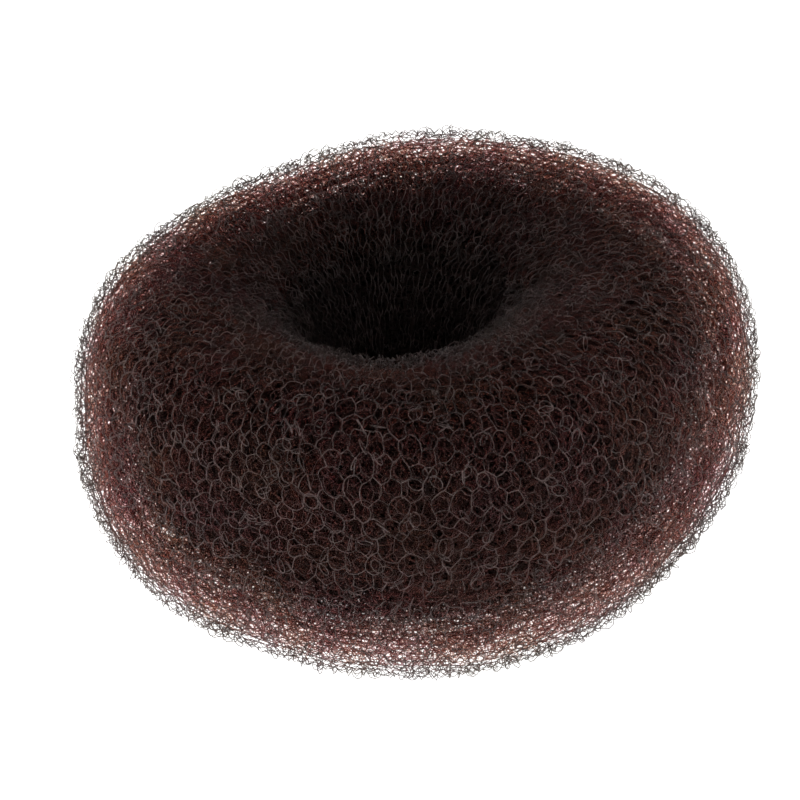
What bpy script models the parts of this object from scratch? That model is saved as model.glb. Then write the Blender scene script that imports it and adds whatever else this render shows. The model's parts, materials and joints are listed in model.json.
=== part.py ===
"""A bun ring of wound netting, lying on a flat surface.

Metres, +Z up. The origin is on that surface, under the middle of the ring's box, and the
hole for the ponytail runs along Z. The ring is one piece: a netting tube rolled up on
itself until the wall is a soft, springy roll as thick as it is tall.
"""

import math
from collections import namedtuple

import bmesh
import bpy

MM = 0.001

# The roll seen from above: an outer oval, and a smaller oval for the hole at its waist.
OUTER_LONG = 95.0 * MM
OUTER_SHORT = 86.5 * MM
OUTER_TURN = 57.0  # degrees from +X to the outer oval's long way
HOLE_LONG = 21.0 * MM
HOLE_SHORT = 17.5 * MM
HOLE_TURN = 20.0  # degrees from +X to the hole's long way
HOLE_LEFT = 3.5 * MM  # how far the hole sits from the outer oval's middle, towards -X
HOLE_FORWARD = 2.5 * MM  # and towards -Y

# The roll cut through: nearly as wide as tall, a little fuller than an ellipse.
RING_HEIGHT = 43.0 * MM
FULLNESS = 2.25  # 2 is an ellipse, and more is squarer
FOOT_FLAT = 9.0 * MM  # width of the strip that its own weight presses flat

STATIONS = 96  # cross-sections around the ring
SECTION_POINTS = 38  # points over each cross-section, from one edge of the foot to the other

NETTING_BROWN = (0.032, 0.014, 0.011, 1.0)
NETTING_ROUGHNESS = 0.55

# How the soft roll departs from its plain ovals, going round from +X through +Y. Each
# column is a share of the size it follows: the outer radius, the hole's radius, the
# height, and for lean the section's half width, by which its crown moves outwards.
Swell = namedtuple("Swell", "angle outer hole height lean")
SWELLS = (
    Swell(0, 1.000, 0.95, 1.00, 0.10),
    Swell(30, 0.995, 0.97, 0.99, 0.08),
    Swell(60, 1.005, 1.00, 0.97, 0.06),
    Swell(90, 1.010, 1.02, 0.96, 0.06),
    Swell(120, 0.955, 1.04, 0.95, 0.08),
    Swell(150, 0.975, 1.03, 0.96, 0.08),
    Swell(180, 1.035, 1.00, 0.98, 0.10),
    Swell(210, 1.020, 1.02, 1.00, 0.14),
    Swell(240, 0.970, 1.04, 1.00, 0.18),
    Swell(270, 1.002, 1.00, 1.00, 0.20),
    Swell(300, 1.012, 0.94, 1.01, 0.16),
    Swell(330, 0.978, 0.91, 1.01, 0.12),
)
ROW_STEP = 360 / len(SWELLS)


def swell_at(column, angle):
    """The named column at any angle, on a smooth curve through the rows that closes on itself."""
    place = (angle % 360) / ROW_STEP
    row = int(place)
    t = place - row
    before, here, after, beyond = (
        getattr(SWELLS[(row + k) % len(SWELLS)], column) for k in (-1, 0, 1, 2)
    )
    leaving = (after - before) / 2
    arriving = (beyond - here) / 2
    return (
        here * (1 + 2 * t) * (1 - t) ** 2
        + leaving * t * (1 - t) ** 2
        + after * t * t * (3 - 2 * t)
        - arriving * t * t * (1 - t)
    )


def oval_radius(long_way, short_way, turn, angle):
    """Distance from an oval's middle to its edge in one direction."""
    away = math.radians(angle - turn)
    a, b = long_way / 2, short_way / 2
    return a * b / math.hypot(b * math.cos(away), a * math.sin(away))


def outer_edge(angle):
    """The ring's outermost point in plan, before it is centred."""
    reach = oval_radius(OUTER_LONG, OUTER_SHORT, OUTER_TURN, angle) * swell_at("outer", angle)
    return (
        reach * math.cos(math.radians(angle)),
        reach * math.sin(math.radians(angle)),
    )


def hole_edge(angle):
    """The hole's edge in plan at its waist, before the ring is centred."""
    reach = oval_radius(HOLE_LONG, HOLE_SHORT, HOLE_TURN, angle) * swell_at("hole", angle)
    return (
        reach * math.cos(math.radians(angle)) - HOLE_LEFT,
        reach * math.sin(math.radians(angle)) - HOLE_FORWARD,
    )


def rounded(wave):
    """A cosine or sine made fuller, as on a superellipse."""
    return math.copysign(abs(wave) ** (2 / FULLNESS), wave)


def section(angle):
    """The points of one cross-section, from the foot's outer edge over the crown to its inner edge."""
    (outer_x, outer_y), (hole_x, hole_y) = outer_edge(angle), hole_edge(angle)
    height = RING_HEIGHT * swell_at("height", angle)
    lean = swell_at("lean", angle)
    half_width = math.dist((outer_x, outer_y), (hole_x, hole_y)) / 2
    # The full rounded form is cut off below, where it is as wide as the pressed strip.
    foot_share = FOOT_FLAT / 2 / half_width
    foot_depth = (1 - foot_share**FULLNESS) ** (1 / FULLNESS)
    half_height = height / (1 + foot_depth)
    foot_turn = math.asin(foot_depth ** (FULLNESS / 2))
    points = []
    for k in range(SECTION_POINTS):
        turn = -foot_turn + (math.pi + 2 * foot_turn) * k / (SECTION_POINTS - 1)
        across, up = rounded(math.cos(turn)), rounded(math.sin(turn))
        out = (1 + across + lean * max(up, 0) ** 2) / 2
        points.append(
            (
                hole_x + (outer_x - hole_x) * out,
                hole_y + (outer_y - hole_y) * out,
                half_height * (up + foot_depth),
            )
        )
    return points


def centred(sections):
    """The sections, moved so that the middle of the ring's box is over the origin."""
    xs = [x for ring in sections for x, _, _ in ring]
    ys = [y for ring in sections for _, y, _ in ring]
    middle_x = (min(xs) + max(xs)) / 2
    middle_y = (min(ys) + max(ys)) / 2
    return [[(x - middle_x, y - middle_y, z) for x, y, z in ring] for ring in sections]


def netting_material():
    material = bpy.data.materials.new("brown_netting")
    material.use_nodes = True
    shader = material.node_tree.nodes["Principled BSDF"]
    shader.inputs["Base Color"].default_value = NETTING_BROWN
    shader.inputs["Roughness"].default_value = NETTING_ROUGHNESS
    shader.inputs["Metallic"].default_value = 0.0
    material.diffuse_color = NETTING_BROWN
    return material


def ring_mesh():
    """A closed skin of quads through the sections, with the flat foot as each one's last quad."""
    sections = centred([section(360 * k / STATIONS) for k in range(STATIONS)])
    shape = bmesh.new()
    rings = [[shape.verts.new(point) for point in ring] for ring in sections]
    for k, ring in enumerate(rings):
        following = rings[(k + 1) % STATIONS]
        for j in range(SECTION_POINTS):
            after = (j + 1) % SECTION_POINTS
            shape.faces.new((ring[j], following[j], following[after], ring[after]))
    bmesh.ops.recalc_face_normals(shape, faces=shape.faces)
    mesh = bpy.data.meshes.new("bun_ring")
    shape.to_mesh(mesh)
    shape.free()
    mesh.shade_smooth()
    return mesh


def main():
    for leftover in list(bpy.data.objects):
        bpy.data.objects.remove(leftover)
    ring = bpy.data.objects.new("bun_ring", ring_mesh())
    ring.data.materials.append(netting_material())
    bpy.context.scene.collection.objects.link(ring)


main()
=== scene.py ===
import json
import math

import bpy
import numpy as np
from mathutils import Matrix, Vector
from mathutils.bvhtree import BVHTree
from mathutils.geometry import delaunay_2d_cdt


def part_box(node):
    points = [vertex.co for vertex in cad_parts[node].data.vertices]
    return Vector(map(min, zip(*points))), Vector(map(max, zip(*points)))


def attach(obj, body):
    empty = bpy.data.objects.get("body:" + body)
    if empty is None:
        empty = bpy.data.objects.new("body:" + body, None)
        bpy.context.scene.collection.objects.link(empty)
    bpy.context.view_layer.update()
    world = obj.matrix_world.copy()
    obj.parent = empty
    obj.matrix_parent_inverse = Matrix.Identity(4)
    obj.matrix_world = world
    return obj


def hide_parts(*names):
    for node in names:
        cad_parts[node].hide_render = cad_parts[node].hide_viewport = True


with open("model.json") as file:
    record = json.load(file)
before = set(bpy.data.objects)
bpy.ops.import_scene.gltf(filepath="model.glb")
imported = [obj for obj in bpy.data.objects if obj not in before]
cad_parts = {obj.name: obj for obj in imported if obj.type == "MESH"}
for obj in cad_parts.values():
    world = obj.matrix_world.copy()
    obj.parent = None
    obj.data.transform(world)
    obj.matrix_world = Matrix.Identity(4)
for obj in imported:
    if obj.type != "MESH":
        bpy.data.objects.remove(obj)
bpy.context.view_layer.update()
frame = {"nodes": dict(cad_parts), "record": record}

MM = 0.001
RING = "bun_ring"

# The ring is a knitted tube of nylon thread, rolled up on itself from one end. From outside in it
# has three nets of uneven cells, four knitted turns, and closer and closer wraps round a
# closed-up middle. A depth is the distance from the ring's outside. The roll's map goes from 0 to 1
# round the ring, and its height from 0 at the hole's waist over the crown and under the foot to 1,
# back at the waist.

# The roll's own shape, measured on the frame.
FORM_STATIONS = 144  # round the ring
FORM_POINTS = 72  # round the roll
FORM_RAYS = 180
OUT_OF_REACH = 200 * MM  # further from the hole's middle than any point of the ring
OUTER_SIDE = 0.5  # its height on the map, between the crown's half and the foot's

THREAD_SIDES = 3
NOISE_GAIN = 3  # brings noise, which keeps close to 0.5, to between about -1 and 1

# The three nets, whose cells are the gaps between the stitches.
CELLS_ROUND = 114  # in a row, once round the ring
CELLS_OVER = 50  # rows, once round the roll
CELL_WIDTH = 1.15  # against the step from row to row, as in a honeycomb
CELL_SCATTER = 0.25  # how far a cell's middle strays, in cells
CELL_MARGIN = 5  # cells repeated past each edge of the map, so that it closes
SAME_SPOT = 1e-6  # middles closer than this, in cells, would count as one
OUTER_DEPTH = 0.4 * MM  # the loose loops' too, and the knitted turns' depth is counted from here
SECOND_DEPTH = 0.9 * MM
THIRD_DEPTH = 1.5 * MM
OUTER_STEP = 0.50 * MM  # length of a thread's straight parts
SECOND_STEP = 0.7 * MM
THIRD_STEP = 1.1 * MM
THREAD_RADIUS = 0.057 * MM
THIRD_THREAD_RADIUS = 0.075 * MM

# How the sides of the cells hang.
SIDE_BOW = 0.36 * MM  # how far a side bows outwards between its corners
BOW_VARIETY = 0.4  # how much more or less than that, in bows
LOOSE_FROM = 0.4  # a side whose chance, from -1 to 1, is above this hangs loose
LOOSE_RISE = 1.7  # how fast it gets looser from there
LOOSE_SIDES = 0.6  # how much further the loosest sides bow, in bows
SIDE_SWAY = 0.25 * MM  # how far a side bows along the roll, one way or the other
ARC_POWER = 0.6  # of the half wave that a side bows in: 1 keeps its shape, less gives fuller arcs
NET_DENT = 0.32 * MM  # how far single corners sink in
DENT_SCALE = 0.5 / MM  # dents lie about 2 mm apart
NET_DRIFT = 0.35 * MM  # how far whole patches lie further in or out
DRIFT_SCALE = 0.11 / MM  # patches are about 9 mm wide

# Loose loops that stand up off the roll.
LOOP_SHARE = 0.35  # how many there are, as a share of the cells
LOOP_EDGES = (0.10, 0.90)  # they lie between these heights on the map
LOOP_RADIUS = 0.95 * MM
LOOP_STRETCH = (0.72, 1.12)  # least and most that a loop is squeezed or drawn out, each way
LOOP_LEANS = (0.6, 1.55)  # least and most that it stands up, in radians: 0 lies flat on the roll
LOOP_POINTS = 8
LOOP_THREAD_RADIUS = 0.062 * MM

# The knitted turns under the nets. Towards the hole the netting is squeezed so close that only
# the outer net shows.
TURNS = ("fourth", "fifth", "sixth", "seventh")
FIRST_TURN = 2  # the nets take the place of so many whole turns of the roll
LIT_TURNS = 2  # light from around reaches so many of them; those further in take a shaded copy of the finish, painted shade in its darker dye, lower gloss and weaker haze
HIDDEN_AT_HOLE = 6  # courses left out on each side of the hole's waist
WALES = 90  # stitches once round the tube
COURSES_PER_TURN = 45  # rows of stitches once round the roll
POINTS_IN_STITCH = 5
TURN_DEPTH = 0.45 * MM  # from one turn to the next one in
TURN_SPREAD = 0.06 * MM  # how much wider apart the turns lie further in
TURN_THREAD_RADIUS = 0.048 * MM
TURN_THREAD_GAIN = 0.019 * MM  # how much fuller the thread looks with each turn in
CROWN_GAIN = 0.6  # how much fuller it looks at the crown than at the foot, where stitches are looser
STITCH_LEAN = 0.33  # how far a stitch's head is wider than its neck, in stitches
STITCH_HEIGHT = 0.56  # from a course's middle to a stitch's head, in courses
STITCH_STAND = 0.20 * MM  # how far the heads stand off the roll, and the feet sink in
LEG_BULGE = 0.45 * MM  # how far the legs bow outwards between head and foot
LOOSE_STITCHES = 2.2  # how much further the loosest stitches bow outwards, in bulges
LOOSE_STITCHES_FROM = 0.3  # a stitch whose chance is above this is a loose one

# Unevenness of the stitches, and how much of it goes into each part of them.
UNEVENNESS = 1.1  # 0 for even stitches
STITCH_CHANGE = 0.9  # how fast it changes from stitch to stitch
COURSE_CHANGE = 1.7  # how much faster from course to course
PATCH_CHANGE = 0.2  # the same for whole patches
PATCH_COURSE_CHANGE = 1.2
STRAY_SIDEWAYS = 0.35  # in stitches
STRAY_UPWARDS = 0.40  # in courses
SLANT = 0.35  # heads one way and feet the other, in stitches
HEIGHT_SWELL = 0.35  # as a share of a stitch's height
STAND_SWELL = 0.6  # as a share of how far its head stands off
BULGE_SWELL = 0.6  # as a share of its legs' bulge
PATCH_LIFT = 0.7  # this and the next two are shares of how far the heads stand off
STITCH_LIFT = 0.5
TWIST_LIFT = 0.6

# The closed-up middle of the roll, under the knitted turns.
CORE_PLACES = (0, 0.10, 0.22, 0.35, 0.5, 0.65, 0.79, 0.86, 1)  # heights on the map
CORE_DEPTHS = (3.0, 4.0, 8.0, 9.0, 10.5, 11.5, 11.5, 2.5, 3.0)  # how deep it lies there, mm
CORE_LUMPS = 1.6 * MM  # how far its points stray in or out
CORE_SKIP = 2  # it uses every second station and point of the roll's form

# The wraps round the core: closer and closer turns of the same netting, outermost first.
WRAPS = ("outer", "second", "third", "fourth", "fifth", "inner")
WRAP_SHARES = (0.40, 0.92)  # depth as a share of the core's, from the outer wrap to the inner one
WRAP_REACHES = (0.016, 0.085)  # how far their threads reach, in cells
WRAP_EARLIER = (0.060, 0.012)  # how much lower on the map than the core they close in under the foot

# Seeds for everything random.
OUTER_SEEDS = (11, 3)  # where a net's cells lie, and how their sides hang
SECOND_SEEDS = (12, 23)
THIRD_SEEDS = (13, 33)
LOOP_SEEDS = (21, 8)  # where the loops lie, and how they lean
TURN_SEED = 3.0
CORE_SEED = 5
WRAP_SEED = 41  # the outer wrap's, and one more for each wrap further in
# Seeds that are added to a piece's own one.
SWAY_SEED = 1
NET_DRIFT_SEED = 5
STRETCH_SEED = 1
SLANT_SEED = 31
PATCH_SEED = 7

# Dyes, as red, green and blue from 0 to 1, and the tint of the light that passes each thread.
OUTER_DYE = (0.083, 0.062, 0.060)
OUTER_CLEAR = (0.88, 0.84, 0.84)
# Further in, each dye is the dye darkened by painted shade, and the shaded turns' dye is the darkest.
SECOND_DYE_AND_SHADE = (0.052, 0.033, 0.032)
SECOND_CLEAR = (0.95, 0.79, 0.80)
THIRD_DYE_AND_SHADE = (0.034, 0.019, 0.019)
INNER_DYE_AND_SHADE = (0.022, 0.012, 0.012)
INNER_CLEAR = (0.985, 0.845, 0.86)
SHADED_DYE = (0.009, 0.0045, 0.0045)
SHADED_CLEAR = (0.985, 0.825, 0.85)
PALER_HIGHLIGHT = 1.8  # the palest patches of a dye, against the dye: painted highlights strewn at random along the threads
DEEPER = 0.55  # and the deepest
WARMER = (1.0, 1.015, 0.91)  # what the tint is multiplied by in the warmest patches
HAZE_DYE = (0.79, 0.38, 0.37)  # of the light that a thread scatters, and its palest patches
HAZE_DYE_PALE = (0.90, 0.55, 0.43)
DYE_PATCH = 2.2 * MM
CLEAR_PATCH = 7 * MM
HAZE_PATCH = 8 * MM
PATCH_EDGES = (0.34, 0.66)  # noise below the first gives one shade, and above the second the other
NYLON_IOR = 1.53
NYLON_ROUGHNESS = (0.35, 0.55)

# The closed-up netting of the core and the wraps. Its gaps are painted shade, and its threads are the dye
# darkened by painted shade.
CLOSED_GAP_SHADE = (0.0065, 0.0035, 0.0035)
CLOSED_THREAD = (0.030, 0.017, 0.015)
CLOSED_THREAD_REACH = 0.12  # how far the threads' shade reaches into a gap, in cells
CLOSED_RELIEF = 0.3 * MM
CLOSED_ROUGHNESS = 0.8
CLOSED_GLOSS = 0.1
CORE_CELL = 2.7 * MM  # size of a cell
WRAP_CELL = 1.0 * MM

# Light: a bright floor and horizon all round, and a dimmer ceiling.
FLOOR_REACH = 3.0  # metres, from its middle to each edge
FLOOR_GREY = 0.5
FLOOR_ROUGHNESS = 0.9
FLOOR_GLOW = 1.25
FLOOR_SHADE = (16 * MM, 28 * MM)  # its glow fades in between these distances from the ring's middle, a painted shadow under the ring
FAR_GLOW = 1.25  # what is added to it further off
FAR_EDGES = (110 * MM, 160 * MM)
LEFT_GAIN = 1.2  # what the glow is multiplied by at the left
LEFT_EDGES = (-45 * MM, 5 * MM)  # it fades to 1 between these distances to the right of the middle
HORIZON_GLOW = 2.0
CEILING_GLOW = 0.42
CEILING_EDGE = 0.30  # where the ceiling begins, as the sine of its height

THREADS_SEEN_THROUGH = 26  # light is followed through so many threads, one behind another
WALLS_PER_THREAD = 2  # its front and its back

CAMERA_HEIGHT = 34.0  # degrees above the surface
CAMERA_AWAY = 450 * MM
CAMERA_LENS = 152.2  # millimetres, for a sensor 36 mm wide
CAMERA_SIGHT = 10  # metres
AIM = Vector((-2.47 * MM, -1.81 * MM, 21.0 * MM))  # right, up the picture and above the floor


# Form of the roll


def ring_surface():
    """The CAD ring's surface, for casting rays at."""
    mesh = frame["nodes"][RING].data
    points = [vertex.co.copy() for vertex in mesh.vertices]
    return BVHTree.FromPolygons(points, [tuple(face.vertices) for face in mesh.polygons])


def hole_middle():
    """The middle of the ponytail's hole, in plan."""
    low, high = frame["record"]["physics"]["openings"][0]["box_m"]
    return Vector(((low[0] + high[0]) / 2, (low[1] + high[1]) / 2, 0))


def section_outline(surface, middle, angle, height):
    """One cross-section of the roll: its middle, and evenly spaced points that start at the hole."""
    outward = Vector((math.cos(angle), math.sin(angle), 0))
    start = middle + Vector((0, 0, height / 2))
    inner = surface.ray_cast(start, outward)[0]
    outer = surface.ray_cast(start + outward * OUT_OF_REACH, -outward)[0]
    heart = (inner + outer) / 2
    edge = []
    for turn in np.linspace(math.pi, -math.pi, FORM_RAYS + 1):
        ray = outward * math.cos(turn) + Vector((0, 0, math.sin(turn)))
        edge.append(surface.ray_cast(heart, ray)[0])
    edge = np.array(edge)
    run = np.concatenate(([0], np.cumsum(np.linalg.norm(np.diff(edge, axis=0), axis=1))))
    places = np.linspace(0, run[-1], FORM_POINTS + 1)
    even = np.column_stack([np.interp(places, run, edge[:, axis]) for axis in range(3)])
    return np.array(heart), even


def roll_form():
    """Points on the roll [station, point, axis] and the way in from each, closed both ways."""
    surface, middle = ring_surface(), hole_middle()
    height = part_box(RING)[1].z
    points, inward = [], []
    for station in range(FORM_STATIONS + 1):
        angle = 2 * math.pi * station / FORM_STATIONS
        heart, edge = section_outline(surface, middle, angle, height)
        way = heart - edge
        points.append(edge)
        inward.append(way / np.linalg.norm(way, axis=1, keepdims=True))
    return np.array(points), np.array(inward)


def grid_faces(rows, columns, closed):
    """Faces between neighbouring points of a grid, which closes both ways or stays open."""
    left_out = 0 if closed else 1
    return [
        (
            row * columns + column,
            row * columns + (column + 1) % columns,
            (row + 1) % rows * columns + (column + 1) % columns,
            (row + 1) % rows * columns + column,
        )
        for row in range(rows - left_out)
        for column in range(columns - left_out)
    ]


def keep_vectors(mesh, name, values):
    """Keeps a vector at each point of a mesh, under this name."""
    layer = mesh.attributes.new(name, "FLOAT_VECTOR", "POINT")
    layer.data.foreach_set("vector", values.astype(np.float32).ravel())


def form_mesh(points, inward):
    """The roll as a sheet cut open along the hole, with its map and the way in at each point."""
    rows, columns = points.shape[:2]
    mesh = bpy.data.meshes.new("roll_form")
    mesh.from_pydata(points.reshape(-1, 3).tolist(), [], grid_faces(rows, columns, closed=False))
    around, over = np.meshgrid(
        np.linspace(0, 1, rows), np.linspace(0, 1, columns), indexing="ij"
    )
    keep_vectors(mesh, "roll_map", np.column_stack([around.ravel(), over.ravel(), np.zeros(around.size)]))
    keep_vectors(mesh, "inward", inward.reshape(-1, 3))
    return mesh


def on_roll(grid, around, over):
    """The values of a grid of points on the roll at places from 0 to 1 each way."""
    row = around * (grid.shape[0] - 1)
    column = over * (grid.shape[1] - 1)
    low_row, low_column = row.astype(int), column.astype(int)
    part_row, part_column = (row - low_row)[:, None], (column - low_column)[:, None]
    low, high = (
        grid[near, low_column] * (1 - part_column) + grid[near, low_column + 1] * part_column
        for near in (low_row, low_row + 1)
    )
    return low * (1 - part_row) + high * part_row


def cell_map(seed):
    """Corners of uneven cells on the roll's map, and the sides that join them.

    The cells' middles lie in rows, as in a honeycomb, and stray from their places. Each three that
    are neighbours have a corner between them. The map closes both ways.
    """
    chance = np.random.default_rng(seed)
    rows, columns = np.indices((CELLS_OVER, CELLS_ROUND))
    across = columns + rows % 2 / 2 + chance.normal(0, CELL_SCATTER, rows.shape)
    upward = rows + chance.normal(0, CELL_SCATTER, rows.shape)
    number = np.pad(rows * CELLS_ROUND + columns, CELL_MARGIN, mode="wrap")
    copy_up, copy_across = np.indices(number.shape) - CELL_MARGIN
    across = across.ravel()[number] + copy_across // CELLS_ROUND * CELLS_ROUND
    upward = upward.ravel()[number] + copy_up // CELLS_OVER * CELLS_OVER
    middles = [Vector(pair) for pair in zip(across.ravel() * CELL_WIDTH, upward.ravel())]
    _, _, triangles, origin, _, _ = delaunay_2d_cdt(middles, [], [], 0, SAME_SPOT)
    triangles = np.array([[origin[corner][0] for corner in triangle] for triangle in triangles])
    corner_spots = np.column_stack([way.ravel()[triangles].mean(axis=1) for way in (across, upward)])
    names = [tuple(sorted(cells)) for cells in number.ravel()[triangles].tolist()]
    inside = np.all((corner_spots >= 0) & (corner_spots < (CELLS_ROUND, CELLS_OVER)), axis=1)
    corner_of = {names[index]: place for place, index in enumerate(np.flatnonzero(inside))}
    met, sides = {}, set()
    for name, triangle in zip(names, triangles.tolist()):
        for pair in ((0, 1), (1, 2), (0, 2)):
            border = tuple(sorted(triangle[corner] for corner in pair))
            other = met.setdefault(border, name)
            if other != name and name in corner_of and other in corner_of:
                sides.add(tuple(sorted((corner_of[name], corner_of[other]))))
    return corner_spots[inside] / (CELLS_ROUND, CELLS_OVER), sorted(sides)


def cell_mesh(points, inward, seed, first, last):
    """The cells' sides between two heights on the map, as bare edges on the roll."""
    spots, sides = cell_map(seed)
    sides = [side for side in sides if all(first <= spots[corner, 1] < last for corner in side)]
    mesh = bpy.data.meshes.new("cells")
    mesh.from_pydata(on_roll(points, spots[:, 0], spots[:, 1]).tolist(), sides, [])
    keep_vectors(mesh, "inward", on_roll(inward, spots[:, 0], spots[:, 1]))
    return mesh


def loop_spots(points, inward, seed):
    """Scattered places on the roll for loose loops, as bare points."""
    chance = np.random.default_rng(seed)
    count = int(CELLS_ROUND * CELLS_OVER * LOOP_SHARE)
    around = chance.uniform(0, 1, count)
    over = chance.uniform(*LOOP_EDGES, count)
    mesh = bpy.data.meshes.new("loop_spots")
    mesh.from_pydata(on_roll(points, around, over).tolist(), [], [])
    keep_vectors(mesh, "inward", on_roll(inward, around, over))
    return mesh


# Values and vectors in a tree of nodes


class Value:
    """A number that changes from place to place. Its arithmetic adds nodes to its tree."""

    def __init__(self, tree, socket):
        self.tree = tree
        self.socket = socket

    def reckon(self, operation, *others):
        node = self.tree.nodes.new("ShaderNodeMath")
        node.operation = operation
        for socket, value in zip(node.inputs, (self, *others)):
            if isinstance(value, Value):
                self.tree.links.new(value.socket, socket)
            else:
                socket.default_value = value
        return Value(self.tree, node.outputs[0])

    def __add__(self, other):
        return self.reckon("ADD", other)

    def __sub__(self, other):
        return self.reckon("SUBTRACT", other)

    def __mul__(self, other):
        return self.reckon("MULTIPLY", other)

    def __truediv__(self, other):
        return self.reckon("DIVIDE", other)

    def __pow__(self, other):
        return self.reckon("POWER", other)

    def sine(self):
        return self.reckon("SINE")

    def cosine(self):
        return self.reckon("COSINE")

    def at_least(self, least):
        return self.reckon("MAXIMUM", least)

    def part(self):
        """What is left after the whole number."""
        return self.reckon("FRACT")

    def ranged(self, before, after):
        """The value carried over from one range to another, and kept within it."""
        node = self.tree.nodes.new("ShaderNodeMapRange")
        node.inputs["From Min"].default_value, node.inputs["From Max"].default_value = before
        node.inputs["To Min"].default_value, node.inputs["To Max"].default_value = after
        self.tree.links.new(self.socket, node.inputs["Value"])
        return Value(self.tree, node.outputs[0])


def parts_of(tree, vector):
    """The three numbers of a vector, or the channels of a colour."""
    split = tree.nodes.new("ShaderNodeSeparateXYZ")
    tree.links.new(vector, split.inputs[0])
    return [Value(tree, socket) for socket in split.outputs]


def vector_of(tree, x, y, z):
    """A vector from three numbers, each plain or a value."""
    node = tree.nodes.new("ShaderNodeCombineXYZ")
    for socket, value in zip(node.inputs, (x, y, z)):
        if isinstance(value, Value):
            tree.links.new(value.socket, socket)
        else:
            socket.default_value = value
    return node.outputs[0]


def vector_math(tree, operation, *operands):
    node = tree.nodes.new("ShaderNodeVectorMath")
    node.operation = operation
    for socket, operand in zip(node.inputs, operands):
        tree.links.new(operand, socket)
    return node.outputs["Vector"]


def scaled(tree, vector, value):
    node = tree.nodes.new("ShaderNodeVectorMath")
    node.operation = "SCALE"
    tree.links.new(vector, node.inputs[0])
    tree.links.new(value.socket, node.inputs["Scale"])
    return node.outputs["Vector"]


def kept_vector(tree, name):
    """The vectors that a mesh keeps under this name."""
    node = tree.nodes.new("GeometryNodeInputNamedAttribute")
    node.data_type = "FLOAT_VECTOR"
    node.inputs["Name"].default_value = name
    return node.outputs[0]


def unevenness(tree, where, scale, seed):
    """Three smooth random values from about -1 to 1, which change from place to place."""
    noise = tree.nodes.new("ShaderNodeTexNoise")
    noise.noise_dimensions = "4D"
    noise.inputs["Scale"].default_value = scale
    noise.inputs["Detail"].default_value = 0
    tree.links.new(where, noise.inputs["Vector"])
    tree.links.new(seed.socket, noise.inputs["W"])
    return [(channel - 0.5) * NOISE_GAIN for channel in parts_of(tree, noise.outputs["Color"])]


# Netting, as trees of nodes


def started_tree(name, shape, inputs):
    """A new tree that makes netting from a shape: the tree, the node of its inputs and its sizes."""
    tree = bpy.data.node_groups.new(name, "GeometryNodeTree")
    tree.interface.new_socket(shape, in_out="INPUT", socket_type="NodeSocketGeometry")
    for label, kind in inputs:
        tree.interface.new_socket(label, in_out="INPUT", socket_type=kind)
    tree.interface.new_socket("Netting", in_out="OUTPUT", socket_type="NodeSocketGeometry")
    given = tree.nodes.new("NodeGroupInput")
    return tree, given, {label: Value(tree, given.outputs[label]) for label, _ in inputs}


def end_in_thread(tree, lines, place, size, fullness=None):
    """Lays a tree's lines in their places, none below the floor, and ends it in thread along them."""
    x, y, z = parts_of(tree, place)
    laid = tree.nodes.new("GeometryNodeSetPosition")
    tree.links.new(lines, laid.inputs["Geometry"])
    tree.links.new(vector_of(tree, x, y, z.at_least(size["Thread Radius"])), laid.inputs["Position"])
    section = tree.nodes.new("GeometryNodeCurvePrimitiveCircle")
    section.inputs["Resolution"].default_value = THREAD_SIDES
    tree.links.new(size["Thread Radius"].socket, section.inputs["Radius"])
    swept = tree.nodes.new("GeometryNodeCurveToMesh")
    swept.inputs["Fill Caps"].default_value = True
    tree.links.new(laid.outputs[0], swept.inputs["Curve"])
    tree.links.new(section.outputs[0], swept.inputs["Profile Curve"])
    if fullness:
        tree.links.new(fullness.socket, swept.inputs["Scale"])
    realized = tree.nodes.new("GeometryNodeRealizeInstances")
    tree.links.new(swept.outputs[0], realized.inputs[0])
    coloured = tree.nodes.new("GeometryNodeSetMaterial")
    tree.links.new(realized.outputs[0], coloured.inputs["Geometry"])
    tree.links.new(size["Material"].socket, coloured.inputs["Material"])
    result = tree.nodes.new("NodeGroupOutput")
    tree.links.new(coloured.outputs[0], result.inputs[0])


NET_INPUTS = (
    ("Depth", "NodeSocketFloat"),
    ("Side Bow", "NodeSocketFloat"),
    ("Loose Sides", "NodeSocketFloat"),
    ("Side Sway", "NodeSocketFloat"),
    ("Dent", "NodeSocketFloat"),
    ("Drift", "NodeSocketFloat"),
    ("Step", "NodeSocketFloat"),
    ("Thread Radius", "NodeSocketFloat"),
    ("Seed", "NodeSocketInt"),
    ("Material", "NodeSocketMaterial"),
)


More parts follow.
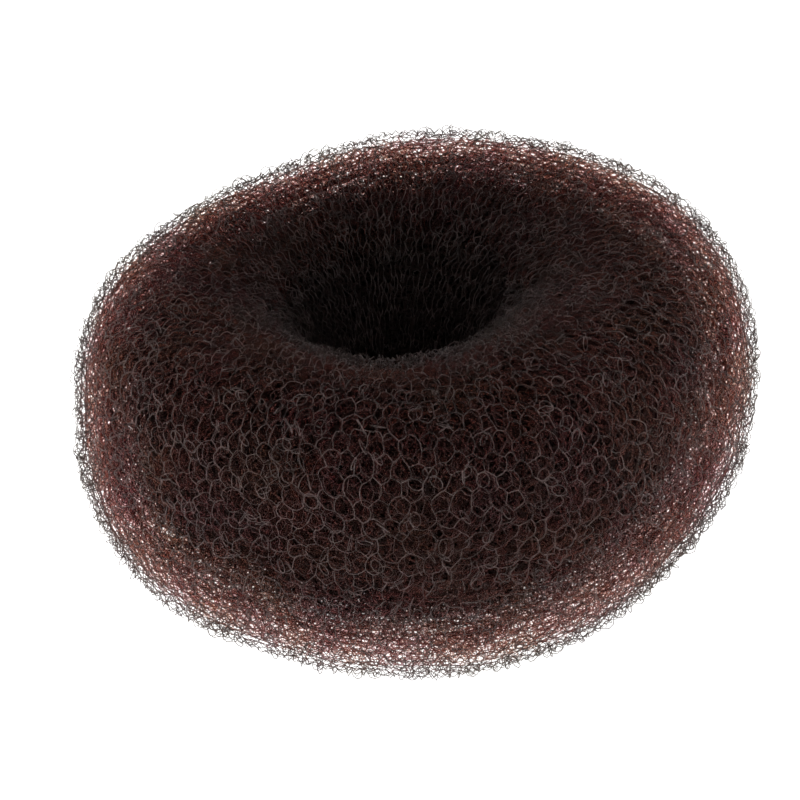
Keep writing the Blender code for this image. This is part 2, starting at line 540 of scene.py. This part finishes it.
def net_tree():
    """Thread along every side of the cells, bowed outwards between the corners."""
    tree, given, size = started_tree("cell_net", "Cells", NET_INPUTS)
    sides = tree.nodes.new("GeometryNodeMeshToCurve")
    tree.links.new(given.outputs["Cells"], sides.inputs["Mesh"])
    stepped = tree.nodes.new("GeometryNodeResampleCurve")
    stepped.mode = "LENGTH"
    tree.links.new(sides.outputs[0], stepped.inputs["Curve"])
    tree.links.new(size["Step"].socket, stepped.inputs["Length"])

    # Chance is the same all along a side for its bow, and at a corner for the sides that meet there.
    side_of_point = tree.nodes.new("GeometryNodeCurveOfPoint")
    chances = []
    for added in (0, SWAY_SEED):
        pick = tree.nodes.new("FunctionNodeRandomValue")
        pick.inputs["Min"].default_value = -1
        tree.links.new(side_of_point.outputs["Curve Index"], pick.inputs["ID"])
        tree.links.new((size["Seed"] + added).socket, pick.inputs["Seed"])
        chances.append(Value(tree, pick.outputs["Value"]))
    bow, sway = chances
    position = tree.nodes.new("GeometryNodeInputPosition").outputs[0]
    dent = unevenness(tree, position, DENT_SCALE, size["Seed"])[0]
    drift = unevenness(tree, position, DRIFT_SCALE, size["Seed"] + NET_DRIFT_SEED)[0]

    along = Value(tree, tree.nodes.new("GeometryNodeSplineParameter").outputs["Factor"])
    arc = (along * math.pi).sine().at_least(0) ** ARC_POWER
    looseness = (bow - LOOSE_FROM).at_least(0) * size["Loose Sides"] * LOOSE_RISE
    bowed = arc * size["Side Bow"] * (looseness + bow * BOW_VARIETY + 1)
    depth = size["Depth"] + dent.at_least(0) * size["Dent"] + drift * size["Drift"] - bowed
    inward = kept_vector(tree, "inward")
    way_along = tree.nodes.new("GeometryNodeInputTangent").outputs[0]
    sideways = vector_math(tree, "CROSS_PRODUCT", way_along, inward)
    shift = vector_math(
        tree, "ADD", scaled(tree, inward, depth), scaled(tree, sideways, arc * sway * size["Side Sway"])
    )
    end_in_thread(tree, stepped.outputs[0], vector_math(tree, "ADD", position, shift), size)
    return tree


LOOP_INPUTS = (
    ("Depth", "NodeSocketFloat"),
    ("Loop Radius", "NodeSocketFloat"),
    ("Least Lean", "NodeSocketFloat"),
    ("Most Lean", "NodeSocketFloat"),
    ("Least Stretch", "NodeSocketFloat"),
    ("Most Stretch", "NodeSocketFloat"),
    ("Points In Loop", "NodeSocketInt"),
    ("Thread Radius", "NodeSocketFloat"),
    ("Seed", "NodeSocketInt"),
    ("Material", "NodeSocketMaterial"),
)


def random_vector(tree, least, most, seed):
    """A random vector for each point, between two others."""
    node = tree.nodes.new("FunctionNodeRandomValue")
    node.data_type = "FLOAT_VECTOR"
    tree.links.new(least, node.inputs["Min"])
    tree.links.new(most, node.inputs["Max"])
    tree.links.new(seed.socket, node.inputs["Seed"])
    return node.outputs["Value"]


def loop_tree():
    """A loose round loop at every point, leaning off the roll one way or the other."""
    tree, given, size = started_tree("loose_loops", "Spots", LOOP_INPUTS)
    inward = kept_vector(tree, "inward")
    placed = tree.nodes.new("GeometryNodeSetPosition")
    tree.links.new(given.outputs["Spots"], placed.inputs["Geometry"])
    tree.links.new(scaled(tree, inward, size["Depth"]), placed.inputs["Offset"])

    # A loop lies flat on the roll, turned any way, and then leans.
    flat = tree.nodes.new("FunctionNodeAlignRotationToVector")
    tree.links.new(inward, flat.inputs["Vector"])
    least, most = (
        vector_of(tree, size[lean], 0.0, spin)
        for lean, spin in (("Least Lean", -math.pi), ("Most Lean", math.pi))
    )
    lean = tree.nodes.new("FunctionNodeEulerToRotation")
    tree.links.new(random_vector(tree, least, most, size["Seed"]), lean.inputs[0])
    leaning = tree.nodes.new("FunctionNodeRotateRotation")
    leaning.rotation_space = "LOCAL"
    tree.links.new(flat.outputs[0], leaning.inputs[0])
    tree.links.new(lean.outputs[0], leaning.inputs[1])
    least, most = (
        vector_of(tree, size[stretch], size[stretch], 1.0)
        for stretch in ("Least Stretch", "Most Stretch")
    )
    stretch = random_vector(tree, least, most, size["Seed"] + STRETCH_SEED)

    ring = tree.nodes.new("GeometryNodeCurvePrimitiveCircle")
    tree.links.new(size["Points In Loop"].socket, ring.inputs["Resolution"])
    tree.links.new(size["Loop Radius"].socket, ring.inputs["Radius"])
    strewn = tree.nodes.new("GeometryNodeInstanceOnPoints")
    tree.links.new(placed.outputs[0], strewn.inputs["Points"])
    tree.links.new(ring.outputs[0], strewn.inputs["Instance"])
    tree.links.new(leaning.outputs[0], strewn.inputs["Rotation"])
    tree.links.new(stretch, strewn.inputs["Scale"])
    loops = tree.nodes.new("GeometryNodeRealizeInstances")
    tree.links.new(strewn.outputs[0], loops.inputs[0])
    position = tree.nodes.new("GeometryNodeInputPosition").outputs[0]
    end_in_thread(tree, loops.outputs[0], position, size)
    return tree


KNIT_INPUTS = (
    ("Wales", "NodeSocketInt"),
    ("Points In Stitch", "NodeSocketInt"),
    ("First Course", "NodeSocketInt"),
    ("Courses", "NodeSocketInt"),
    ("Courses Per Turn", "NodeSocketFloat"),
    ("Turn Depth", "NodeSocketFloat"),
    ("Turn Spread", "NodeSocketFloat"),
    ("Outer Depth", "NodeSocketFloat"),
    ("Stitch Lean", "NodeSocketFloat"),
    ("Stitch Height", "NodeSocketFloat"),
    ("Stitch Stand", "NodeSocketFloat"),
    ("Leg Bulge", "NodeSocketFloat"),
    ("Loose Stitches", "NodeSocketFloat"),
    ("Unevenness", "NodeSocketFloat"),
    ("Crown Gain", "NodeSocketFloat"),
    ("Ring Height", "NodeSocketFloat"),
    ("Thread Radius", "NodeSocketFloat"),
    ("Seed", "NodeSocketFloat"),
    ("Material", "NodeSocketMaterial"),
)


def knitting_tree():
    """Knits courses of looped thread round the roll's form, each turn further in than the last."""
    tree, given, size = started_tree("rolled_knitting", "Form", KNIT_INPUTS)

    # A course is a closed line with the same number of points in each stitch.
    course_line = tree.nodes.new("GeometryNodeCurvePrimitiveCircle")
    points_round = size["Wales"] * size["Points In Stitch"]
    tree.links.new(points_round.socket, course_line.inputs["Resolution"])
    courses = tree.nodes.new("GeometryNodeDuplicateElements")
    courses.domain = "SPLINE"
    tree.links.new(course_line.outputs[0], courses.inputs["Geometry"])
    tree.links.new(size["Courses"].socket, courses.inputs["Amount"])
    course = Value(tree, courses.outputs["Duplicate Index"]) + size["First Course"]
    along = tree.nodes.new("GeometryNodeSplineParameter")
    stitch = Value(tree, along.outputs["Index"]) / size["Points In Stitch"]

    # Chance, the same at both ends of a course: for single stitches, and for whole patches.
    around = stitch / size["Wales"] * (2 * math.pi)
    rim = size["Wales"] / (2 * math.pi)
    rim_x, rim_y = around.cosine() * rim, around.sine() * rim
    spot = vector_of(tree, rim_x, rim_y, course * COURSE_CHANGE)
    patch = vector_of(tree, rim_x, rim_y, course * PATCH_COURSE_CHANGE)
    sideways, upwards, outwards = unevenness(tree, spot, STITCH_CHANGE, size["Seed"])
    slant, twist, swell = unevenness(tree, spot, STITCH_CHANGE, size["Seed"] + SLANT_SEED)
    patch_side, patch_up, patch_out = unevenness(tree, patch, PATCH_CHANGE, size["Seed"] + PATCH_SEED)

    # The stitch: heads wider than their necks, standing off the roll.
    swing = stitch * (2 * math.pi)
    uneven = size["Unevenness"]
    stray = sideways * STRAY_SIDEWAYS + slant * swing.cosine() * SLANT + patch_side
    across = stitch + (swing * 2).sine() * size["Stitch Lean"] + stray * uneven
    to_head = swing.cosine() * size["Stitch Height"] * (swell * uneven * HEIGHT_SWELL + 1)
    upward = course + to_head + (upwards * STRAY_UPWARDS + patch_up) * uneven
    turn = upward / size["Courses Per Turn"]
    stand = size["Stitch Stand"] * (outwards * uneven * STAND_SWELL + 1)
    loose_legs = (outwards - LOOSE_STITCHES_FROM).at_least(0) * size["Loose Stitches"]
    loose_head = (slant - LOOSE_STITCHES_FROM).at_least(0) * size["Loose Stitches"]
    bulge = size["Leg Bulge"] * (twist * uneven * BULGE_SWELL + 1 + loose_legs)
    lift = patch_out * PATCH_LIFT + outwards * STITCH_LIFT + twist * swing.sine() * TWIST_LIFT
    depth = (
        size["Outer Depth"]
        + size["Turn Depth"] * turn
        + size["Turn Spread"] * turn * turn
        - stand * swing.cosine()
        + bulge * (swing * 2).cosine()
        - size["Leg Bulge"] * loose_head * (swing.cosine() + 1)
        - size["Stitch Stand"] * lift * uneven
    )

    # From the netting's own map to its place on the roll.
    place = vector_of(tree, (across / size["Wales"]).part(), turn.part(), 0.0)
    position = tree.nodes.new("GeometryNodeInputPosition").outputs[0]
    samples = []
    for source in (position, kept_vector(tree, "inward")):
        sample = tree.nodes.new("GeometryNodeSampleUVSurface")
        sample.data_type = "FLOAT_VECTOR"
        tree.links.new(given.outputs["Form"], sample.inputs["Mesh"])
        tree.links.new(source, sample.inputs["Value"])
        tree.links.new(kept_vector(tree, "roll_map"), sample.inputs["Source UV Map"])
        tree.links.new(place, sample.inputs["Sample UV"])
        samples.append(sample.outputs["Value"])
    outside, inward = samples
    sunk = vector_math(tree, "MULTIPLY_ADD", inward, depth.socket, outside)

    # The thread has its own radius half way up the ring.
    rise = parts_of(tree, position)[2] / size["Ring Height"]
    fullness = (rise - 0.5) * size["Crown Gain"] + 1
    end_in_thread(tree, courses.outputs["Geometry"], sunk, size, fullness)
    return tree


def worked(name, tree, form, **sizes):
    """A plain mesh of what a tree makes of a form with these sizes, named as its inputs are."""
    worker = bpy.data.objects.new("worker", form)
    bpy.context.scene.collection.objects.link(worker)
    work = worker.modifiers.new("work", "NODES")
    work.node_group = tree
    wanted = {key.replace("_", " ").title(): value for key, value in sizes.items()}
    for item in tree.interface.items_tree:
        if item.name in wanted:
            work[item.identifier] = wanted[item.name]
    bpy.context.view_layer.update()
    evaluated = worker.evaluated_get(bpy.context.evaluated_depsgraph_get())
    mesh = bpy.data.meshes.new_from_object(evaluated)
    bpy.data.objects.remove(worker)
    mesh.name = name
    mesh.shade_smooth()
    piece = bpy.data.objects.new(name, mesh)
    bpy.context.scene.collection.objects.link(piece)
    return piece


# Finishes


def new_finish(name):
    """A new material, with the tree of its nodes and its shader."""
    material = bpy.data.materials.new(name)
    material.use_nodes = True
    return material, material.node_tree, material.node_tree.nodes["Principled BSDF"]


def blend_shades(tree, share, first, second, socket):
    """Runs a colour socket from one shade to another as the share goes from 0 to 1."""
    blend = tree.nodes.new("ShaderNodeMix")
    blend.data_type = "RGBA"
    blend.inputs["A"].default_value = (*first, 1)
    blend.inputs["B"].default_value = (*second, 1)
    tree.links.new(share.socket, blend.inputs["Factor"])
    tree.links.new(blend.outputs["Result"], socket)


def flecked(tree, socket, first, second, patch):
    """Runs a colour socket from one shade to another in patches of this size, and returns their noise."""
    where = tree.nodes.new("ShaderNodeTexCoord")
    cloud = tree.nodes.new("ShaderNodeTexNoise")
    cloud.inputs["Scale"].default_value = 1 / patch
    cloud.inputs["Detail"].default_value = 1
    tree.links.new(where.outputs["Object"], cloud.inputs["Vector"])
    noise = Value(tree, cloud.outputs["Fac"])
    blend_shades(tree, noise.ranged(PATCH_EDGES, (0, 1)), first, second, socket)
    return noise


def mixed(tree, share, first, second):
    """The first shader at a share of 0, and the second at 1. The share is a number or a value."""
    mix = tree.nodes.new("ShaderNodeMixShader")
    if isinstance(share, Value):
        tree.links.new(share.socket, mix.inputs[0])
    else:
        mix.inputs[0].default_value = share
    tree.links.new(first.outputs[0], mix.inputs[1])
    tree.links.new(second.outputs[0], mix.inputs[2])
    return mix


def brown_nylon(name, dye, clear, clearness, haze, gloss):
    """Brown nylon thread: dark where light falls on it, but letting some of the light behind it pass."""
    material, tree, shader = new_finish(name)
    shader.inputs["IOR"].default_value = NYLON_IOR
    shader.inputs["Specular IOR Level"].default_value = gloss
    # The dye runs at random from deeper patches to paler ones, and the paler patches are painted
    # highlights.
    pale = [PALER_HIGHLIGHT * part for part in dye]
    deep = [DEEPER * part for part in dye]
    noise = flecked(tree, shader.inputs["Base Color"], deep, pale, DYE_PATCH)
    tree.links.new(noise.ranged((0, 1), NYLON_ROUGHNESS).socket, shader.inputs["Roughness"])

    straight = tree.nodes.new("ShaderNodeBsdfTransparent")
    warmer = [part * gain for part, gain in zip(clear, WARMER)]
    flecked(tree, straight.inputs["Color"], clear, warmer, CLEAR_PATCH)
    scattered = tree.nodes.new("ShaderNodeBsdfTranslucent")
    flecked(tree, scattered.inputs["Color"], HAZE_DYE, HAZE_DYE_PALE, HAZE_PATCH)
    through = mixed(tree, haze, straight, scattered)
    thread = mixed(tree, clearness, shader, through)
    tree.links.new(thread.outputs[0], tree.nodes["Material Output"].inputs["Surface"])
    return material


def closed_netting(name, cell, reach=None):
    """Close threads round cells of this size, darkened by painted shade, with painted shade in the gaps
    between them.

    Where a reach is given, light passes wherever no thread is so near, in cells.
    """
    material, tree, shader = new_finish(name)
    shader.inputs["Roughness"].default_value = CLOSED_ROUGHNESS
    shader.inputs["Specular IOR Level"].default_value = CLOSED_GLOSS
    where = tree.nodes.new("ShaderNodeTexCoord")
    cells = tree.nodes.new("ShaderNodeTexVoronoi")
    cells.feature = "DISTANCE_TO_EDGE"
    cells.inputs["Scale"].default_value = 1 / cell
    tree.links.new(where.outputs["Object"], cells.inputs["Vector"])
    away = Value(tree, cells.outputs["Distance"])
    threads = away.ranged((0, CLOSED_THREAD_REACH), (1, 0))
    blend_shades(tree, threads, CLOSED_GAP_SHADE, CLOSED_THREAD, shader.inputs["Base Color"])
    raised = tree.nodes.new("ShaderNodeBump")
    raised.inputs["Distance"].default_value = CLOSED_RELIEF
    tree.links.new(threads.socket, raised.inputs["Height"])
    tree.links.new(raised.outputs[0], shader.inputs["Normal"])
    if reach:
        gap = tree.nodes.new("ShaderNodeBsdfTransparent")
        porous = mixed(tree, away.reckon("LESS_THAN", reach), gap, shader)
        tree.links.new(porous.outputs[0], tree.nodes["Material Output"].inputs["Surface"])
    return material


# Pieces


def wound(name, points, inward, material, share=1.0, earlier=0.0, seed=CORE_SEED):
    """A closed skin round the middle of the roll, which nearly reaches the floor under the foot."""
    points, inward = points[:-1:CORE_SKIP, :-1:CORE_SKIP], inward[:-1:CORE_SKIP, :-1:CORE_SKIP]
    way_over = np.linspace(0, 1, points.shape[1])
    places = [place - earlier * (OUTER_SIDE < place < 1) for place in CORE_PLACES]
    depth = np.interp(way_over, places, CORE_DEPTHS) * MM
    lumps = np.random.default_rng(seed).uniform(-CORE_LUMPS, CORE_LUMPS, points.shape[:2])
    skin = points + inward * ((depth + lumps) * share)[..., None]
    mesh = bpy.data.meshes.new(name)
    mesh.from_pydata(skin.reshape(-1, 3).tolist(), [], grid_faces(*skin.shape[:2], closed=True))
    mesh.flip_normals()
    mesh.materials.append(material)
    mesh.shade_smooth()
    piece = bpy.data.objects.new(name, mesh)
    bpy.context.scene.collection.objects.link(piece)
    return piece


def core_and_wraps(points, inward):
    """The closed-up middle of the roll, and the wraps round it, outermost first."""
    core = wound("wound_core", points, inward, closed_netting("closed_netting", CORE_CELL))
    wraps = []
    for number, name in enumerate(WRAPS):
        way_in = number / (len(WRAPS) - 1)
        share, reach, earlier = (
            start + (end - start) * way_in for start, end in (WRAP_SHARES, WRAP_REACHES, WRAP_EARLIER)
        )
        finish = closed_netting("wrap_" + name, WRAP_CELL, reach)
        wraps.append(wound("wrap_" + name, points, inward, finish, share, earlier, WRAP_SEED + number))
    return core, wraps


def nets(points, inward, nylon):
    """The three nets, outermost first. The outer one is made in two halves."""
    # The second and third nets' darker dyes and lower gloss are painted shade, deeper in the third.
    second_nylon = brown_nylon(
        "second_nylon", SECOND_DYE_AND_SHADE, SECOND_CLEAR, clearness=0.46, haze=0.09, gloss=0.30
    )
    third_nylon = brown_nylon(
        "third_nylon", THIRD_DYE_AND_SHADE, INNER_CLEAR, clearness=0.64, haze=0.12, gloss=0.22
    )
    hidden = HIDDEN_AT_HOLE / COURSES_PER_TURN
    outer = (OUTER_SEEDS, OUTER_DEPTH, OUTER_STEP, THREAD_RADIUS, nylon)
    second = (SECOND_SEEDS, SECOND_DEPTH, SECOND_STEP, THREAD_RADIUS, second_nylon)
    third = (THIRD_SEEDS, THIRD_DEPTH, THIRD_STEP, THIRD_THREAD_RADIUS, third_nylon)
    parts = (
        ("netting_outer_crown", 0, OUTER_SIDE, outer),
        ("netting_outer_foot", OUTER_SIDE, 1, outer),
        ("netting_second", hidden, 1 - hidden, second),
        ("netting_third", hidden, 1 - hidden, third),
    )
    tree = net_tree()
    pieces = []
    for name, first, last, layer in parts:
        (cell_seed, side_seed), depth, step, thread_radius, finish = layer
        pieces.append(
            worked(
                name, tree, cell_mesh(points, inward, cell_seed, first, last),
                depth=depth,
                side_bow=SIDE_BOW,
                loose_sides=LOOSE_SIDES,
                side_sway=SIDE_SWAY,
                dent=NET_DENT,
                drift=NET_DRIFT,
                step=step,
                thread_radius=thread_radius,
                seed=side_seed,
                material=finish,
            )
        )
    return pieces


def loose_loops(points, inward, nylon):
    """The loops that stand up off the outer net."""
    place_seed, lean_seed = LOOP_SEEDS
    least_lean, most_lean = LOOP_LEANS
    least_stretch, most_stretch = LOOP_STRETCH
    return worked(
        "netting_loops", loop_tree(), loop_spots(points, inward, place_seed),
        depth=OUTER_DEPTH,
        loop_radius=LOOP_RADIUS,
        least_lean=least_lean,
        most_lean=most_lean,
        least_stretch=least_stretch,
        most_stretch=most_stretch,
        points_in_loop=LOOP_POINTS,
        thread_radius=LOOP_THREAD_RADIUS,
        seed=lean_seed,
        material=nylon,
    )


def knitted_turns(points, inward):
    """The knitted turns under the nets, outermost first."""
    # Lit and shaded copies of one nylon. Both dyes are darkened by painted shade, and the shaded copy's
    # darker dye, lower gloss and weaker haze are more painted shade.
    lit = brown_nylon("lit_nylon", INNER_DYE_AND_SHADE, INNER_CLEAR, clearness=0.80, haze=0.13, gloss=0.15)
    shaded = brown_nylon("shaded_nylon", SHADED_DYE, SHADED_CLEAR, clearness=0.72, haze=0.045, gloss=0.1)
    tree = knitting_tree()
    form = form_mesh(points, inward)
    pieces = []
    for number, name in enumerate(TURNS):
        turn = FIRST_TURN + number
        pieces.append(
            worked(
                "netting_" + name, tree, form,
                wales=WALES,
                points_in_stitch=POINTS_IN_STITCH,
                first_course=turn * COURSES_PER_TURN + HIDDEN_AT_HOLE,
                courses=COURSES_PER_TURN - 2 * HIDDEN_AT_HOLE,
                courses_per_turn=float(COURSES_PER_TURN),
                turn_depth=TURN_DEPTH,
                turn_spread=TURN_SPREAD,
                outer_depth=OUTER_DEPTH,
                stitch_lean=STITCH_LEAN,
                stitch_height=STITCH_HEIGHT,
                stitch_stand=STITCH_STAND,
                leg_bulge=LEG_BULGE,
                loose_stitches=LOOSE_STITCHES,
                unevenness=UNEVENNESS,
                crown_gain=CROWN_GAIN,
                ring_height=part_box(RING)[1].z,
                thread_radius=TURN_THREAD_RADIUS + turn * TURN_THREAD_GAIN,
                seed=TURN_SEED,
                material=lit if number < LIT_TURNS else shaded,
            )
        )
    return pieces


# Studio


def floor():
    """A pale floor that glows as a light table does, except under the ring, where its glow fades into a
    painted shadow.
    """
    mesh = bpy.data.meshes.new("floor")
    corners = [
        (-FLOOR_REACH, -FLOOR_REACH, 0),
        (FLOOR_REACH, -FLOOR_REACH, 0),
        (FLOOR_REACH, FLOOR_REACH, 0),
        (-FLOOR_REACH, FLOOR_REACH, 0),
    ]
    mesh.from_pydata(corners, [], [(0, 1, 2, 3)])
    material, tree, shader = new_finish("pale_floor")
    shader.inputs["Base Color"].default_value = (FLOOR_GREY, FLOOR_GREY, FLOOR_GREY, 1)
    shader.inputs["Roughness"].default_value = FLOOR_ROUGHNESS
    shader.inputs["Emission Color"].default_value = (1, 1, 1, 1)
    where = tree.nodes.new("ShaderNodeTexCoord").outputs["Object"]
    length = tree.nodes.new("ShaderNodeVectorMath")
    length.operation = "LENGTH"
    tree.links.new(where, length.inputs[0])
    away = Value(tree, length.outputs["Value"])
    glow = away.ranged(FLOOR_SHADE, (0, FLOOR_GLOW)) + away.ranged(FAR_EDGES, (0, FAR_GLOW))
    leftwards = parts_of(tree, where)[0].ranged(LEFT_EDGES, (LEFT_GAIN, 1))
    tree.links.new((leftwards * glow).socket, shader.inputs["Emission Strength"])
    material.cycles.emission_sampling = "NONE"
    mesh.materials.append(material)
    ground = bpy.data.objects.new("floor", mesh)
    bpy.context.scene.collection.objects.link(ground)


def soft_light():
    """Light from all round, brightest at the horizon."""
    world = bpy.data.worlds.new("studio")
    world.use_nodes = True
    tree = world.node_tree
    backdrop = tree.nodes["Background"]
    backdrop.inputs["Color"].default_value = (1, 1, 1, 1)
    way = tree.nodes.new("ShaderNodeTexCoord").outputs["Generated"]
    glow = parts_of(tree, way)[2].ranged((0, CEILING_EDGE), (HORIZON_GLOW, CEILING_GLOW))
    tree.links.new(glow.socket, backdrop.inputs["Strength"])
    world.cycles.sampling_method = "NONE"
    bpy.context.scene.world = world


def camera():
    """A camera that looks down at the ring from the front."""
    up_angle = math.radians(CAMERA_HEIGHT)
    back = Vector((0, -math.cos(up_angle), math.sin(up_angle)))
    up = Vector((0, math.sin(up_angle), math.cos(up_angle)))
    data = bpy.data.cameras.new("camera")
    data.lens = CAMERA_LENS
    data.clip_end = CAMERA_SIGHT
    eye = bpy.data.objects.new("camera", data)
    aim = Vector((AIM.x, 0, AIM.z)) + up * AIM.y
    eye.location = aim + back * CAMERA_AWAY
    eye.rotation_mode = "QUATERNION"
    eye.rotation_quaternion = (-back).to_track_quat("-Z", "Y")
    bpy.context.scene.collection.objects.link(eye)
    bpy.context.scene.camera = eye


def main():
    points, inward = roll_form()
    core, wraps = core_and_wraps(points, inward)
    nylon = brown_nylon("brown_nylon", OUTER_DYE, OUTER_CLEAR, clearness=0.40, haze=0.06, gloss=0.42)
    pieces = [
        *nets(points, inward, nylon),
        loose_loops(points, inward, nylon),
        *knitted_turns(points, inward),
        *wraps,
        core,
    ]
    for piece in pieces:
        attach(piece, "root")
        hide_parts(RING)
    floor()
    soft_light()
    camera()
    bpy.context.scene.view_settings.view_transform = "Standard"
    bpy.context.scene.cycles.transparent_max_bounces = THREADS_SEEN_THROUGH * WALLS_PER_THREAD


main()
